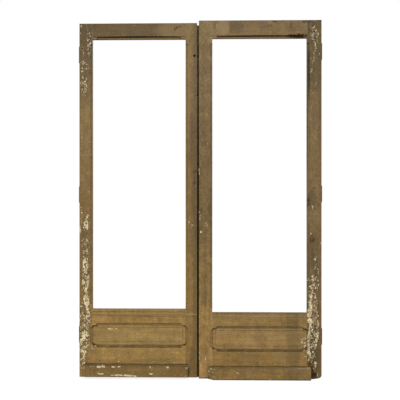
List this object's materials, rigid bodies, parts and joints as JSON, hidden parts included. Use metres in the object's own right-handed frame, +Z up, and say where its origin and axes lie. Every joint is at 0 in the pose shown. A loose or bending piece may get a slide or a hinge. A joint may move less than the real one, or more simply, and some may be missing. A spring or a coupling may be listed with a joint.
{
  "type": "pair of french doors",
  "caption": "Tall wooden double doors for a doorway: stile-and-rail leaves with open glass lights, low fielded panels, weather bars and a nose-and-hollow meeting, on butt hinges.",
  "frame": {"origin": "floor level, middle of the pair in width and in depth", "axes": "+Z up, +X to the right seen from outside, +Y towards the room; the outside face looks along -Y"},
  "size_m": [1.503, 0.0904, 2.2],
  "materials": {
    "painted_wood": "old flaking paint",
    "bare_wood": "bare oak, dry",
    "hinge_iron": "old iron, dull",
    "screw_steel": "aged steel"
  },
  "bodies": {
    "doorway_hinges": {"left_bottom_frame_plate": "hinge_iron", "left_bottom_hinge_pin": "hinge_iron", "left_middle_frame_plate": "hinge_iron", "left_middle_hinge_pin": "hinge_iron", "left_top_frame_plate": "hinge_iron", "left_top_hinge_pin": "hinge_iron", "right_bottom_frame_plate": "hinge_iron", "right_bottom_hinge_pin": "hinge_iron", "right_middle_frame_plate": "hinge_iron", "right_middle_hinge_pin": "hinge_iron", "right_top_frame_plate": "hinge_iron", "right_top_hinge_pin": "hinge_iron"},
    "left_leaf": {"left_bar_screws": "screw_steel", "left_bottom_hinge_plate": "hinge_iron", "left_bottom_rail": "painted_wood", "left_meeting_stile": "painted_wood", "left_middle_hinge_plate": "hinge_iron", "left_middle_rail": "painted_wood", "left_outer_stile": "painted_wood", "left_panel": "painted_wood", "left_pegs": "bare_wood", "left_plate_screws": "screw_steel", "left_top_hinge_plate": "hinge_iron", "left_top_rail": "painted_wood", "left_weather_bar": "painted_wood"},
    "right_leaf": {"right_bar_screws": "screw_steel", "right_bottom_hinge_plate": "hinge_iron", "right_bottom_rail": "painted_wood", "right_meeting_stile": "painted_wood", "right_middle_hinge_plate": "hinge_iron", "right_middle_rail": "painted_wood", "right_outer_stile": "painted_wood", "right_panel": "painted_wood", "right_pegs": "bare_wood", "right_plate_screws": "screw_steel", "right_top_hinge_plate": "hinge_iron", "right_top_rail": "painted_wood", "right_weather_bar": "painted_wood"}
  },
  "joints": [
    {"name": "right_swing", "type": "hinge", "parent": "doorway_hinges", "child": "right_leaf", "pos_m": [0.7455, 0.03925, 1.135], "axis": [0, 0, -1], "range_deg": [0, 110]},
    {"name": "left_swing", "type": "hinge", "parent": "doorway_hinges", "child": "left_leaf", "pos_m": [-0.7455, 0.03925, 1.131], "axis": [0, 0, 1], "range_deg": [0, 110]}
  ],
  "couplings": [
    {"joint": "left_swing", "follows": "right_swing", "ratio": 1}
  ]
}
